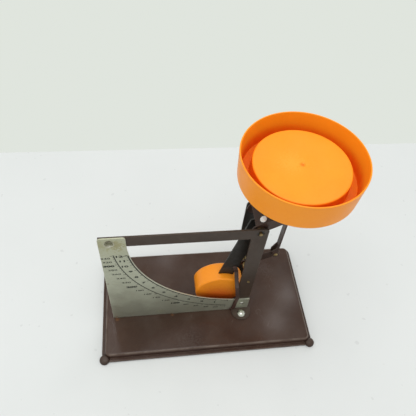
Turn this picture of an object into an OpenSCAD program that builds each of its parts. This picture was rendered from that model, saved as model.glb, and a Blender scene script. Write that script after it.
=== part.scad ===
// Pendulum scale: a pan on a parallel linkage lifts a weighted arm, and its pointer reads on a scale plate.
// Millimetres. Origin in the middle of the footprint on the table, X to the right, Y to the back, Z up.

/* [Base] */
// Length of the flat top of the base, left to right
base_l = 200; // [190:1:240]
// Width of the flat top of the base, front to back
base_w = 108; // [100:1:140]
// Height of the top of the base above the table
base_h = 9; // [8:0.5:14]
// Sheet thickness of the base
base_t = 1.6; // [1:0.1:2]
// Radius of the base's corners, seen from above
base_corner_r = 5; // [4:0.5:8]
// Outer radius of the bend between the top and the sides
base_bend_r = 2.4; // [2.1:0.1:3.5]
// Width of the lip around the bottom edge
lip_w = 3.3; // [2:0.1:5]
// Gap between the lip and the table
lip_gap = 1; // [0.5:0.1:2]
// Radius of a front foot
foot_r = 4.7; // [4.4:0.1:6]
// Height of a front foot outside the base
foot_h = 5; // [4:0.1:6]
// Rounding of a front foot's top
foot_round = 3.2; // [1:0.1:3.2]

/* [Frame] */
// Sheet thickness of the front frame and the rear upright
frame_t = 1.5; // [1.2:0.1:2]
// Distance of the front frame's front face behind the base's front edge
frame_inset = 39; // [34:0.5:46]
// Clear space between the front frame and the rear upright
frame_gap = 27; // [26:0.5:32]
// Width of the frame's leg and of the rear upright
leg_w = 13.2; // [10:0.2:18]
// Height of the frame's top bar
bar_w = 12.2; // [10:0.1:14]
// How far the bar's top lies above the upper pivot
bar_rise = 5; // [4.5:0.1:6.5]
// Radius of the front frame's upper corner
frame_corner_r = 2.5; // [1:0.5:6]
// Radius of the rear upright's upper corners
rear_corner_r = 5; // [1:0.5:6]
// Radius of the round foot pad at the bottom of the leg
pad_r = 9.75; // [8:0.25:12]
// How far the foot pad's centre lies in front of the leg
pad_reach = 4; // [3:0.5:8]
// Radius of the shank of the foot screws
screw_r = 2; // [1.5:0.1:2.5]
// Radius of the head of the foot screws
screw_head_r = 4.15; // [3.5:0.05:5]

/* [Pivots] */
// Upper pivot, to the right of the middle of the base
pivot_x = 35.3; // [20:0.1:45]
// Height of the upper pivot above the base
pivot_h = 133.8; // [125:0.1:145]
// Height of the upper pivot above the lower pivot
link_drop = 79.1; // [65:0.1:90]
// How far the lower pivot lies to the right of the upper one
link_shift = 1; // [0:0.1:2]
// Distance between the pivots of the lever and of the guide link
link_l = 30.8; // [28:0.1:34]
// Angle of the lever and the guide link above the horizontal, empty pan
link_rise = 27.9; // [24:0.1:32]
// Radius of the upper axle and of the linkage pins
pin_r = 1.5; // [1.2:0.1:2]
// Radius of the lower axle
lower_axle_r = 1.3; // [1:0.1:1.8]
// Radius of the bushes of the upper axle
bush_r = 3; // [2.6:0.1:4]
// Running clearance of a pin in its hole
run_gap = 0.06; // [0.03:0.01:0.1]

/* [Lever] */
// Sheet thickness of the lever, the guide link and the pan carrier
lever_t = 1.2; // [1:0.1:1.5]
// Gap between the lever and the frame on each side
side_gap = 1.7; // [0.8:0.1:2]
// Height of the lever's back above the line through its pivots
lever_back = 7.2; // [6.5:0.1:8]
// Depth of the lever's sides below the line through its pivots
lever_belly = 2.3; // [2:0.1:4]
// Length of the lever's closed back
lever_web_l = 15; // [12:0.5:17]
// Width of the guide link
link_w = 8.8; // [7:0.1:9]
// Distance of the guide link behind the front frame
link_setback = 18.8; // [18.8:0.1:19.5]

/* [Pendulum] */
// Angle of the pendulum arm to the vertical, empty pan
arm_angle = 12.7; // [10:0.1:14]
// Width of the pendulum arm
arm_w = 14.2; // [12:0.1:17]
// Sheet thickness of the pendulum arm
arm_t = 1.5; // [1:0.1:2]
// Distance of the pendulum arm behind the front frame
arm_setback = 9.5; // [8:0.5:11]
// Distance between the upper pivot and the middle of the weight
weight_drop = 105.8; // [102:0.1:108]
// Radius of the weight
weight_r = 23.4; // [20:0.1:24]
// Thickness of the weight
weight_w = 18.3; // [16:0.1:20]
// Gap between the weight and the front frame
weight_gap = 3; // [1.5:0.1:4]
// Wall of the weight's plastic case, front and back
case_t = 1.8; // [1.2:0.1:2.5]
// Radius of the iron core in the weight, which sets how much the scale weighs
core_r = 14.5; // [13:0.5:17]

/* [Pointer] */
// Width of the pointer
pointer_w = 3.6; // [2.5:0.1:4]
// Sheet thickness of the pointer
pointer_t = 0.8; // [0.5:0.1:1]
// Gap between the pointer and the scale plate
pointer_gap = 0.4; // [0.3:0.1:1]
// Gap between the pointer's tip and the foot pad
tip_gap = 1; // [0.5:0.1:3]

/* [Scale plate] */
// Thickness of the scale plate
plate_t = 1; // [0.8:0.1:1.5]
// Distance of the plate's left edge from the upper pivot
plate_reach = 127.3; // [120:0.1:130]
// Width of the plate's neck, left of the curved edge
neck_w = 21.3; // [18:0.1:24]
// Height of the plate above the base at the lowest point of the curved edge
rail_h = 20.8; // [18:0.1:24]
// Centre of the curved edge, below the upper pivot
arc_drop = 2.8; // [0:0.1:4]
// Distance of the plate's right edge from the upper pivot
plate_right = 7; // [5:0.1:8]
// How far the plate stands above the bar
plate_rise = 0.6; // [0:0.1:1.5]
// Outer radius of the eyelet's cup
eyelet_r = 3.9; // [3:0.1:4.5]

/* [Pan] */
// Outer radius of the pan at its rim
pan_r = 46.4; // [44:0.1:47]
// Height of the pan
pan_h = 24.4; // [20:0.1:30]
// Wall of the pan
pan_t = 2; // [1.5:0.1:2.5]
// Wall of the pan at its rim
rim_t = 1.1; // [0.8:0.1:2]
// How much narrower the pan is at the bottom
pan_taper = 1.2; // [0:0.1:2]
// Radius of the raised disc inside the pan
disc_r = 36.4; // [33:0.1:38]
// Depth of the raised disc below the rim
disc_drop = 9.3; // [6:0.1:12]
// Height of the pan's bottom edge above the upper linkage pin, empty pan
pan_lift = 33.4; // [32:0.1:40]
// How far the middle of the pan lies to the left of the upper linkage pin
pan_shift = 4.4; // [0:0.1:8]
// Width of the pan carrier's strip, front to back
carrier_d = 6.7; // [6.7:0.1:8]
// How far the carrier's strip lies to the right of the upper linkage pin
carrier_reach = 2.7; // [2.6:0.1:4]

/* [Hidden] */
$fn = 96;

// Overlap of solids and reach of cutters past a face
eps = 0.01;
cut = 1;

// Gaps: under the resting pan, between bodies, and between pieces of one body
rest_gap = 0.2;
air = 0.3;
shim = 0.1;

// Colours
paint = "#4b3b33";
dark_steel = "#2c2a26";
brass = "#b08d4a";
orange = "#f08a24";
nickel = "#c9ccc8";
silver = "#9a9c88";
pointer_brown = "#6b463a";

// Depths, from the front to the back; the front feet reach further out than the lip at the back
foot_out = 0.8;
base_y = (foot_out + foot_r - lip_w) / 2;
frame_y = base_y - base_w / 2 + frame_inset;
frame_back = frame_y + frame_t;
rear_y = frame_back + frame_gap;
rear_back = rear_y + frame_t;
plate_y = frame_y - plate_t;
lever_y0 = frame_back + side_gap;
lever_y1 = rear_y - side_gap;
arm_y = frame_back + arm_setback;
weight_y0 = frame_back + weight_gap;
weight_y1 = weight_y0 + weight_w;
link_y = frame_back + link_setback;
carrier_y1 = lever_y1 - lever_t - air;
carrier_y0 = carrier_y1 - carrier_d;
blade_y = plate_y - pointer_gap - pointer_t;
pan_y = (frame_y + rear_back) / 2;

// Pivots, [x, z]
upper = [pivot_x, base_h + pivot_h];
lower = [pivot_x + link_shift, upper[1] - link_drop];
link_step = [link_l * cos(link_rise), link_l * sin(link_rise)];
upper_end = upper + link_step;
lower_end = lower + link_step;

// Frame
leg_x0 = pivot_x - leg_w / 2;
leg_x1 = pivot_x + leg_w / 2;
bar_top = upper[1] + bar_rise;
plate_x0 = pivot_x - plate_reach;
plate_x1 = pivot_x + plate_right;
bar_inset = 0.5;
lip_edge = 0.4;
bar_x0 = plate_x0 + bar_inset;
pad_y = frame_y - pad_reach;
post_r = 3;
post_in = 5.6;
screw_reach = 3.1;
front_screw = [pivot_x, pad_y - screw_reach];
rear_screw = [pivot_x, rear_back + pad_reach + screw_reach];
screw_hole_r = screw_r + shim;
screw_head_h = 2.6;
screw_end = 0.6;
slot_w = 1;
slot_d = 0.9;
nut_h = 2.6;
nut_r = 3.9;
washer_h = 0.8;
washer_r = 4.4;

// Scale plate
plate_top = bar_top + plate_rise;
plate_z0 = base_h + air;
arc_r = pivot_h - arc_drop - rail_h;
neck_x = plate_x0 + neck_w;
arc_centre = [neck_x + arc_r, upper[1] - arc_drop];
plate_corner_r = 2.5;
eyelet_in = 8.5;
eyelet_below = 7;
eyelet = [plate_x0 + eyelet_in, plate_top - eyelet_below];
eyelet_wall = 0.4;
eyelet_lip = 0.3;
eyelet_depth = 0.9;
eyelet_flare = 0.8;
rivet_below = 8.7;
plate_rivet = [pivot_x, base_h + rail_h - rivet_below];
rivet_r = 1.2;
rivet_head_r = 2.2;
rivet_head_h = 0.9;
rivet_tail_r = 1.8;
rivet_tail_h = 0.6;
tab_w = 6;
tab_in = 3;
tab_step = 55;
tab_x = [plate_x0 + tab_in, plate_x0 + tab_in + tab_step];
tab_below = 1;
tab_gap = 0.2;

// Lever, pendulum and weight
web_x0 = -1;
weight_edge_r = 1.4;
core_gap = 0.2;
core_y0 = weight_y0 + case_t + core_gap;
core_y1 = weight_y1 - case_t - core_gap;
core_bed_r = core_r + core_gap;
core_screw_r = 2;
core_screw_head_r = 3.6;
core_screw_head_h = 2.2;
core_nut_h = 2.6;
core_nut_r = 3.6;
arm_tail = 10;
arm_tab_l = 12;
arm_rivet_x = 6.1;
arm_rivet_in = 4.4;
arm_rivet_y = lever_y0 + arm_rivet_in;
arm_rivet_r = 1.6;
arm_rivet_head_r = 2.9;
arm_rivet_head_h = 1.1;
arm_rivet_tail_r = 2.4;
arm_rivet_tail_h = 0.8;

// Pointer
blade_reach = 8.9;
tip_reach = 5.9;
root_reach = 11.3;
root_drop = 68.8;
bridge_dip = 7;
bridge_rise = 9.6;
knee_drop = 107;
blade_x = pivot_x - blade_reach;
tip_x = pivot_x - tip_reach;
tip_z = base_h + frame_t + tip_gap;
bridge_z0 = upper[1] - weight_drop * cos(arm_angle) + weight_r - bridge_dip;
bridge_z1 = bridge_z0 + bridge_rise;
blade_knee_z = upper[1] - knee_drop;
pointer_root = [pivot_x - root_reach, upper[1] - root_drop];
pointer_rivet_r = 0.9;
pointer_rivet_head_r = 1.5;
pointer_rivet_head_h = 0.7;
bend = 0.6;
tip_foot_l = 2.2;
tip_foot_h = 1;
tip_lean = 2.2;

// Pan and its carrier
pan_x = upper_end[0] - pan_shift;
pan_z0 = upper_end[1] + pan_lift;
disc_under = pan_h - disc_drop - pan_t;
seat_t = 1;
seat_gap = 0.8;
seat_r = disc_r - pan_t - seat_gap;
seat_z0 = pan_z0 + disc_under - rest_gap - seat_t;
carrier_x1 = upper_end[0] + carrier_reach;
carrier_x0 = carrier_x1 - lever_t;
carrier_ear_r = 3.6;
carrier_ear_l = 12;
carrier_notch = 7.5;
flange_reach = 10;
seat_rivet_dx = 5;
pin_head_r = 2.2;
pin_head_h = 0.9;
pin_tail_r = 2.2;
pin_tail_h = 0.7;

// A cylinder along Y at [x, z], from y0 to y1
module rod(at, r, y0, y1) {
    translate([at[0], y1, at[1]]) rotate([90, 0, 0]) cylinder(r = r, h = y1 - y0);
}

// A flat sheet along Y from y0 to y1, whose outline is drawn in X and Z
module sheet(y0, y1) {
    translate([0, y1, 0]) rotate([90, 0, 0]) linear_extrude(y1 - y0) children();
}

// Places lever parts drawn with X along the line through its pivots
module on_lever() {
    translate([upper[0], 0, upper[1]]) rotate([0, -link_rise, 0]) children();
}

// Places pendulum parts drawn with -Z pointing from the upper pivot to the weight
module on_arm() {
    translate([upper[0], 0, upper[1]]) rotate([0, arm_angle, 0]) children();
}

// A square piece of size r with a quarter circle taken out: what rounding a corner removes
module corner_chip(r) {
    difference() {
        translate([-eps, -eps]) square(r + eps);
        translate([r, r]) circle(r);
    }
}

// A round-headed rivet or screw along Y with its domed head in front
module domed_head(at, r, h, y_back) {
    translate([at[0], y_back, at[1]]) rotate([90, 0, 0]) rotate_extrude() dome(r, h);
}

// Half outline of a dome, with points on a circular arc
module dome(r, h) {
    ball = (r * r + h * h) / (2 * h);
    span = asin(r / ball);
    polygon(concat([[0, 0]], [for (i = [0 : 8]) [ball * sin(span * (1 - i / 8)),
        ball * cos(span * (1 - i / 8)) - ball + h]]));
}

// A flat washer along Z
module ring(r, bore, h) {
    difference() {
        cylinder(r = r, h = h);
        translate([0, 0, -eps]) cylinder(r = bore, h = h + 2 * eps);
    }
}

// Half section of the base's edge: top sheet, bend, wall and lip, outwards from a corner's centre
module base_edge() {
    r = base_corner_r;
    b = base_bend_r;
    inner = b - base_t;
    lip_t = base_t;
    outer_bend = [for (a = [0 : 15 : 90]) [r - b + b * sin(a), base_h - b + b * cos(a)]];
    inner_bend = [for (a = [90 : -15 : 0]) [r - b + inner * sin(a), base_h - b + inner * cos(a)]];
    polygon(concat([[0, base_h]], outer_bend,
        [[r, lip_gap + lip_t], [r + lip_w - lip_edge, lip_gap + lip_t],
        [r + lip_w, lip_gap + lip_t - lip_edge], [r + lip_w, lip_gap], [r - base_t, lip_gap]],
        inner_bend, [[0, base_h - base_t]]));
}

// The pressed tray on which everything stands
module base_plate() {
    color(paint) difference() {
        union() {
            translate([base_corner_r - base_l / 2, base_y + base_corner_r - base_w / 2, base_h - base_t])
                cube([base_l - 2 * base_corner_r, base_w - 2 * base_corner_r, base_t]);
            for (k = [0 : 3]) translate([0, base_y, 0]) rotate(90 * k) {
                side = k % 2 == 0 ? [base_l, base_w] : [base_w, base_l];
                translate([side[0] / 2 - base_corner_r, side[1] / 2 - base_corner_r, 0]) {
                    rotate([90, 0, 0]) linear_extrude(side[1] - 2 * base_corner_r) base_edge();
                    rotate_extrude(angle = 90) base_edge();
                }
            }
        }
        for (sx = [-1, 1])
            translate([sx * (base_l / 2 + foot_out), base_y - base_w / 2 - foot_out, -eps])
                cylinder(r = foot_r + shim, h = foot_h + shim);
        for (at = [front_screw, rear_screw])
            translate([at[0], at[1], base_h - base_t - eps]) cylinder(r = screw_hole_r, h = base_t + 2 * eps);
        for (x = tab_x)
            translate([x - tab_gap, plate_y - tab_gap, base_h - base_t - eps])
                cube([tab_w + 2 * tab_gap, plate_t + 2 * tab_gap, base_t + 2 * eps]);
    }
}

// The round knob of a front foot, outside the corner, with a thin bar under the wall to its post
module foot_knob() {
    chamfer = 0.8;
    bar = 3;
    bar_l = (post_in + foot_out) * sqrt(2);
    crown = [for (a = [0 : 15 : 90])
        [foot_r - foot_round + foot_round * cos(a), foot_h - foot_round + foot_round * sin(a)]];
    translate([foot_out, foot_out, 0]) {
        rotate_extrude() polygon([[0, 0], [foot_r - chamfer, 0], [foot_r, chamfer],
            each crown, [0, foot_h]]);
        rotate(45) translate([-bar_l, -bar / 2, 0]) cube([bar_l, bar, lip_gap - tab_gap]);
    }
}

// Four plastic feet with posts under the tray: the two in front, turns 2 and 3, have a knob as well
module corner_feet() {
    color(dark_steel) for (k = [0 : 3]) {
        side = k % 2 == 0 ? [base_l, base_w] : [base_w, base_l];
        translate([0, base_y, 0]) rotate(90 * k) translate([side[0] / 2, side[1] / 2, 0]) {
            translate([-post_in, -post_in, 0]) cylinder(r = post_r, h = base_h - base_t);
            if (k >= 2) foot_knob();
        }
    }
}

// A foot pad bent from the bottom of a leg: dir is -1 to the front and 1 to the back, y is the leg's face
module foot_pad(y, dir) {
    reach = pad_reach + frame_t;
    y_pad = y + dir * pad_reach;
    translate([pivot_x, y_pad, base_h]) cylinder(r = pad_r, h = frame_t);
    translate([leg_x0, min(y_pad, y - dir * frame_t), base_h]) cube([leg_w, reach, frame_t]);
}

// Sheet frame: the bar along the top, the leg and the pad under its foot
module front_frame() {
    color(paint) difference() {
        union() {
            sheet(frame_y, frame_back) difference() {
                union() {
                    translate([bar_x0, bar_top - bar_w]) square([leg_x1 - bar_x0, bar_w]);
                    translate([leg_x0, base_h]) square([leg_w, bar_top - base_h]);
                }
                translate([leg_x1, bar_top]) rotate(180) corner_chip(frame_corner_r);
            }
            intersection() {
                foot_pad(frame_y, -1);
                translate([-base_l / 2, frame_back - 2 * pad_r - frame_t - pad_reach, 0])
                    cube([base_l, 2 * pad_r + frame_t + pad_reach, base_h + frame_t]);
            }
        }
        rod(upper, bush_r, frame_y - eps, frame_back + eps);
        rod(lower, lower_axle_r, frame_y - eps, frame_back + eps);
        rod(eyelet, eyelet_r, frame_y - eps, frame_back + eps);
        rod(plate_rivet, rivet_r, frame_y - eps, frame_back + eps);
        translate([front_screw[0], front_screw[1], base_h - eps])
            cylinder(r = screw_hole_r, h = frame_t + 2 * eps);
    }
}

// The upright behind the linkage, which carries the back ends of both axles
module rear_upright() {
    color(dark_steel) difference() {
        union() {
            sheet(rear_y, rear_back) difference() {
                translate([leg_x0, base_h]) square([leg_w, bar_top - base_h]);
                translate([leg_x1, bar_top]) rotate(180) corner_chip(rear_corner_r);
                translate([leg_x0, bar_top]) rotate(-90) corner_chip(rear_corner_r);
            }
            intersection() {
                foot_pad(rear_back, 1);
                translate([-base_l / 2, rear_y, 0])
                    cube([base_l, 2 * pad_r + frame_t + pad_reach, base_h + frame_t]);
            }
        }
        rod(upper, bush_r, rear_y - eps, rear_back + eps);
        rod(lower, lower_axle_r, rear_y - eps, rear_back + eps);
        translate([rear_screw[0], rear_screw[1], base_h - eps])
            cylinder(r = screw_hole_r, h = frame_t + 2 * eps);
    }
}

// Round-headed screws through the two foot pads
module frame_screws() {
    tail = base_t + washer_h + nut_h + screw_end;
    color(nickel) for (at = [front_screw, rear_screw])
        translate([at[0], at[1], base_h + frame_t]) {
            translate([0, 0, -frame_t - tail]) cylinder(r = screw_r, h = frame_t + tail + eps);
            difference() {
                rotate_extrude() dome(screw_head_r, screw_head_h);
                translate([-screw_head_r, -slot_w / 2, screw_head_h - slot_d])
                    cube([2 * screw_head_r, slot_w, slot_d + eps]);
            }
        }
}

// Washers under the base, one on each screw
module frame_washers() {
    color(nickel) for (at = [front_screw, rear_screw])
        translate([at[0], at[1], base_h - base_t - washer_h]) ring(washer_r, screw_r, washer_h);
}

// Nuts under the washers
module frame_nuts() {
    color(nickel) for (at = [front_screw, rear_screw])
        translate([at[0], at[1], base_h - base_t - washer_h - nut_h]) difference() {
            cylinder(r = nut_r, h = nut_h, $fn = 6);
            translate([0, 0, -eps]) cylinder(r = screw_r, h = nut_h + 2 * eps);
        }
}

// The sheet that carries the graduation, with a curved upper edge and two tabs in the base
module scale_plate() {
    notch_x = pivot_x - pad_r - air;
    color(silver) difference() {
        sheet(plate_y, frame_y) {
            difference() {
                translate([plate_x0, plate_z0]) square([plate_x1 - plate_x0, plate_top - plate_z0]);
                translate(arc_centre) circle(arc_r, $fn = 240);
                translate([neck_x, arc_centre[1]]) square([arc_r * 2, plate_top]);
                translate([notch_x, base_h]) square([arc_r, frame_t + air]);
                translate([plate_x0, plate_top]) rotate(-90) corner_chip(plate_corner_r);
                translate([neck_x, plate_top]) rotate(180) corner_chip(plate_corner_r);
            }
            for (x = tab_x)
                translate([x, base_h - base_t - tab_below]) square([tab_w, base_t + air + 2 * tab_below]);
        }
        rod(eyelet, eyelet_r, plate_y - eps, frame_y + eps);
        rod(plate_rivet, rivet_r, plate_y - eps, frame_y + eps);
    }
}

// Drawn cup pressed through the plate and the bar: open in front, closed and flared at the back
module scale_eyelet() {
    floor_y = frame_back + eyelet_depth - eyelet_wall;
    color(nickel) difference() {
        union() {
            rod(eyelet, eyelet_r, plate_y, frame_back + eyelet_depth);
            rod(eyelet, eyelet_r + eyelet_lip, plate_y - eyelet_lip, plate_y);
            rod(eyelet, eyelet_r + eyelet_flare, frame_back, frame_back + eyelet_depth);
        }
        rod(eyelet, eyelet_r - eyelet_wall, plate_y - cut, floor_y);
    }
}

// Solid rivet at the plate's lower right, through the leg
module scale_rivet() {
    color(nickel) {
        rod(plate_rivet, rivet_r, plate_y - eps, frame_back + eps);
        domed_head(plate_rivet, rivet_head_r, rivet_head_h, plate_y);
        rod(plate_rivet, rivet_tail_r, frame_back, frame_back + rivet_tail_h);
    }
}

// The two bearings of the upper axle, pressed into the frame and the rear upright
module axle_bushes() {
    recess = 0.4;
    color(dark_steel) difference() {
        union() {
            rod(upper, bush_r, frame_y + recess, frame_back);
            rod(upper, bush_r, rear_y, rear_back - recess);
        }
        rod(upper, pin_r + run_gap, frame_y - cut, rear_back + cut);
    }
}

// Fixed axle of the guide link
module lower_axle() {
    end = 0.8;
    color(brass) rod(lower, lower_axle_r, frame_y - end, rear_back + end);
}

// Tubes on the lower axle that keep the guide link in its plane
module lower_spacers() {
    tube_wall = 1.1;
    tube_r = lower_axle_r + tube_wall;
    color(brass) difference() {
        union() {
            rod(lower, tube_r, frame_back, link_y - shim);
            rod(lower, tube_r, link_y + lever_t + shim, rear_y);
        }
        rod(lower, lower_axle_r, frame_back - cut, rear_y + cut);
    }
}

// Outline of the lever's two sides, X along the line through its pivots
module lever_side() {
    hub_r = lever_back - lever_t / 2;
    end_rim = 3;
    end_r = pin_r + end_rim;
    shoulder = 9;
    waist = 8;
    hub_drop = lever_belly + 2;
    end_drop = lever_belly + 1.2;
    circle(hub_r);
    translate([link_l, 0]) circle(end_r);
    polygon([[web_x0, 0], [web_x0, lever_back], [link_l - shoulder, lever_back], [link_l + 1, end_r - air],
        [link_l, -end_drop], [link_l - waist, -lever_belly], [0, -hub_drop]]);
}

// Folded lever: two sides joined by a back near the upper pivot
module lever_channel() {
    color(paint) difference() {
        on_lever() {
            sheet(lever_y0, lever_y0 + lever_t) lever_side();
            sheet(lever_y1 - lever_t, lever_y1) lever_side();
            translate([web_x0, lever_y0, lever_back - lever_t])
                cube([lever_web_l, lever_y1 - lever_y0, lever_t]);
        }
        rod(upper, pin_r, lever_y0 - cut, lever_y1 + cut);
        rod(upper_end, pin_r, lever_y0 - cut, lever_y1 + cut);
        on_lever() translate([arm_rivet_x, arm_rivet_y, lever_back - lever_t - cut])
            cylinder(r = arm_rivet_r, h = lever_t + 2 * cut);
    }
}

// Flat strip that hangs from the lever into the weight, with a tab under the lever's back
module pendulum_arm() {
    under = lever_back - lever_t;
    tail_z = weight_drop + arm_tail;
    color(dark_steel) difference() {
        union() {
            intersection() {
                on_arm() translate([-arm_w / 2, arm_y, -tail_z]) cube([arm_w, arm_t, tail_z + arm_w]);
                on_lever() translate([-2 * tail_z, arm_y - cut, under - 2 * tail_z])
                    cube([4 * tail_z, arm_t + 2 * cut, 2 * tail_z]);
            }
            on_lever() translate([web_x0, lever_y0 + lever_t + shim, under - arm_t])
                cube([arm_tab_l, arm_y + arm_t - lever_y0 - lever_t - shim, arm_t]);
        }
        rod(upper, pin_r, arm_y - cut, arm_y + arm_t + cut);
        rod(pointer_root, pointer_rivet_r, arm_y - cut, arm_y + arm_t + cut);
        on_arm() rod([0, -weight_drop], core_screw_r, arm_y - cut, arm_y + arm_t + cut);
        on_lever() translate([arm_rivet_x, arm_rivet_y, under - arm_t - cut])
            cylinder(r = arm_rivet_r, h = arm_t + 2 * cut);
    }
}

// Rivet through the lever's back and the arm's tab
module arm_rivet() {
    grip = lever_t + arm_t;
    color(nickel) on_lever() translate([arm_rivet_x, arm_rivet_y, lever_back]) {
        rotate_extrude() dome(arm_rivet_head_r, arm_rivet_head_h);
        translate([0, 0, -grip - eps]) cylinder(r = arm_rivet_r, h = grip + 2 * eps);
        translate([0, 0, -grip - arm_rivet_tail_h]) cylinder(r = arm_rivet_tail_r, h = arm_rivet_tail_h);
    }
}

// Axle of the lever, which turns in the bushes
module upper_axle() {
    end = 1.4;
    color(brass) rod(upper, pin_r, frame_y - end, rear_back + end);
}

// Washers between the lever's sides and the frame
module thrust_washers() {
    washer = bush_r + 1.2;
    color(brass) difference() {
        union() {
            rod(upper, washer, frame_back + shim, lever_y0);
            rod(upper, washer, lever_y1, rear_y - shim);
        }
        rod(upper, pin_r, frame_back - cut, rear_y + cut);
    }
}

// Bent strip from the arm, under the bar and past the leg, to the front of the scale plate
module pointer() {
    half = pointer_w / 2;
    root_y = arm_y - pointer_t;
    color(pointer_brown) difference() {
        union() {
            sheet(root_y, arm_y) {
                translate(pointer_root) circle(half);
                polygon([pointer_root + [-half, 0], pointer_root + [half, bend],
                    [blade_x + half, bridge_z1 + bend], [blade_x + half, bridge_z1 - bend],
                    [blade_x - half, bridge_z1 - bend], [blade_x - half, bridge_z1 + bend]]);
            }
            translate([blade_x - half, 0, 0]) rotate([90, 0, 90]) linear_extrude(pointer_w)
                polygon([[arm_y, bridge_z1], [arm_y, bridge_z1 - bend],
                    [arm_y - bend / 2, bridge_z1 - 2 * bend],
                    [blade_y + pointer_t, bridge_z0 - bend / 2], [blade_y + pointer_t, bridge_z0 - 2 * bend],
                    [blade_y, bridge_z0 - 2 * bend], [blade_y, bridge_z0 + bend / 2], [root_y, bridge_z1]]);
            sheet(blade_y, blade_y + pointer_t)
                polygon([[blade_x - half, bridge_z0], [blade_x + half, bridge_z0],
                    [tip_x + half, blade_knee_z], [tip_x - tip_lean + half, tip_z],
                    [tip_x - tip_lean - half - tip_foot_l, tip_z],
                    [tip_x - tip_lean - half - tip_foot_l, tip_z + tip_foot_h],
                    [tip_x - tip_lean - half, tip_z + tip_foot_h + bend], [tip_x - half, blade_knee_z]]);
        }
        rod(pointer_root, pointer_rivet_r, root_y - cut, arm_y + cut);
    }
}

// Rivet that holds the pointer on the arm
module pointer_rivet() {
    root_y = arm_y - pointer_t;
    tail_h = 0.5;
    color(pointer_brown) {
        rod(pointer_root, pointer_rivet_r, root_y - eps, arm_y + arm_t + eps);
        domed_head(pointer_root, pointer_rivet_head_r, pointer_rivet_head_h, root_y);
        rod(pointer_root, pointer_rivet_head_r, arm_y + arm_t, arm_y + arm_t + tail_h);
    }
}

// The space that the arm needs inside the weight, with play all round
module arm_slot() {
    on_arm() translate([-arm_w / 2 - shim, arm_y - shim, -weight_drop - arm_tail - shim])
        cube([arm_w + 2 * shim, arm_t + 2 * shim, weight_r + arm_tail + 2 * cut]);
}

// Plastic case of the weight: front and thick rim in one, open at the back for the core
module weight_shell() {
    e = weight_edge_r;
    depth = weight_w - case_t;
    corner = [for (a = [0 : 15 : 90]) [weight_r - e + e * sin(a), depth - e + e * cos(a)]];
    color(orange) difference() {
        on_arm() translate([0, weight_y0 + depth, -weight_drop]) rotate([90, 0, 0]) rotate_extrude($fn = 144)
            polygon(concat([[0, depth]], corner, [[weight_r, 0], [core_bed_r, 0],
                [core_bed_r, depth - case_t], [0, depth - case_t]]));
        arm_slot();
    }
}

// Plastic disc that closes the case at the back
module weight_cover() {
    edge = 1;
    color(orange) difference() {
        on_arm() translate([0, weight_y1, -weight_drop]) rotate([90, 0, 0]) rotate_extrude($fn = 144)
            polygon([[0, 0], [weight_r - edge, 0], [weight_r, edge], [weight_r, case_t], [0, case_t]]);
        on_arm() rod([0, -weight_drop], core_screw_r, weight_y1 - case_t - cut, weight_y1 + cut);
    }
}

// Iron disc inside the case, cut for the arm, the screw and its nut
module weight_core() {
    color("gray") difference() {
        on_arm() rod([0, -weight_drop], core_r, core_y0, core_y1);
        on_arm() rod([0, -weight_drop], core_screw_r + shim, core_y0 - cut, core_y1 + cut);
        on_arm() rod([0, -weight_drop], core_nut_r + shim, core_y0 - cut, core_y0 + core_nut_h);
        arm_slot();
    }
}

// Screw from the back through the cover, the core and the arm
module weight_screw() {
    color(nickel) on_arm() {
        rod([0, -weight_drop], core_screw_r, core_y0 + shim, weight_y1 + eps);
        translate([0, weight_y1, -weight_drop]) rotate([-90, 0, 0]) difference() {
            rotate_extrude() dome(core_screw_head_r, core_screw_head_h);
            translate([-core_screw_head_r, -slot_w / 2, core_screw_head_h - slot_d])
                cube([2 * core_screw_head_r, slot_w, slot_d + eps]);
        }
    }
}

// Nut of that screw, in a pocket in the front of the core
module weight_nut() {
    color(nickel) on_arm() difference() {
        translate([0, core_y0 + core_nut_h, -weight_drop]) rotate([90, 0, 0])
            cylinder(r = core_nut_r, h = core_nut_h - shim, $fn = 6);
        rod([0, -weight_drop], core_screw_r, core_y0 - cut, core_y0 + core_nut_h + cut);
    }
}

// Pin between the lever and the pan carrier
module upper_link_pin() {
    color(brass) {
        rod(upper_end, pin_r, lever_y0, lever_y1);
        domed_head(upper_end, pin_head_r, pin_head_h, lever_y0);
        rod(upper_end, pin_tail_r, lever_y1, lever_y1 + pin_tail_h);
    }
}

// Tube on that pin, between the lever's front side and the carrier
module upper_spacer() {
    color(brass) difference() {
        rod(upper_end, pin_head_r, lever_y0 + lever_t, carrier_y0 - shim);
        rod(upper_end, pin_r, lever_y0, carrier_y0 + cut);
    }
}

// The two ears on one side of the pan carrier, each tapering from the strip to its pin
module carrier_side() {
    for (at = [upper_end, lower_end]) {
        translate(at) circle(carrier_ear_r);
        polygon([[carrier_x0, at[1] + carrier_ear_l], [carrier_x1, at[1] + carrier_ear_l],
            [carrier_x1, at[1]],
            [at[0] - carrier_ear_r, at[1]], [at[0] - carrier_ear_r, at[1] + carrier_ear_r]]);
    }
}

// Folded upright that stays level: a strip on edge with ears at its pins and a flange under the seat
module pan_carrier() {
    flange_x0 = pan_x - flange_reach;
    color(paint) difference() {
        union() {
            sheet(carrier_y0, carrier_y0 + lever_t) carrier_side();
            sheet(carrier_y1 - lever_t, carrier_y1) carrier_side();
            translate([carrier_x0, carrier_y0, lower_end[1] + carrier_notch])
                cube([lever_t, carrier_d, seat_z0 - lower_end[1] - carrier_notch]);
            translate([flange_x0, pan_y - flange_reach, seat_z0 - seat_t])
                cube([carrier_x1 - flange_x0, carrier_y1 - pan_y + flange_reach, seat_t]);
        }
        rod(upper_end, pin_r + run_gap, carrier_y0 - cut, carrier_y1 + cut);
        rod(lower_end, pin_r, carrier_y0 - cut, carrier_y1 + cut);
        for (s = [-1, 1])
            translate([pan_x + s * seat_rivet_dx, pan_y - seat_rivet_dx, seat_z0 - seat_t - cut])
                cylinder(r = rivet_r, h = seat_t + 2 * cut);
    }
}

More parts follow.
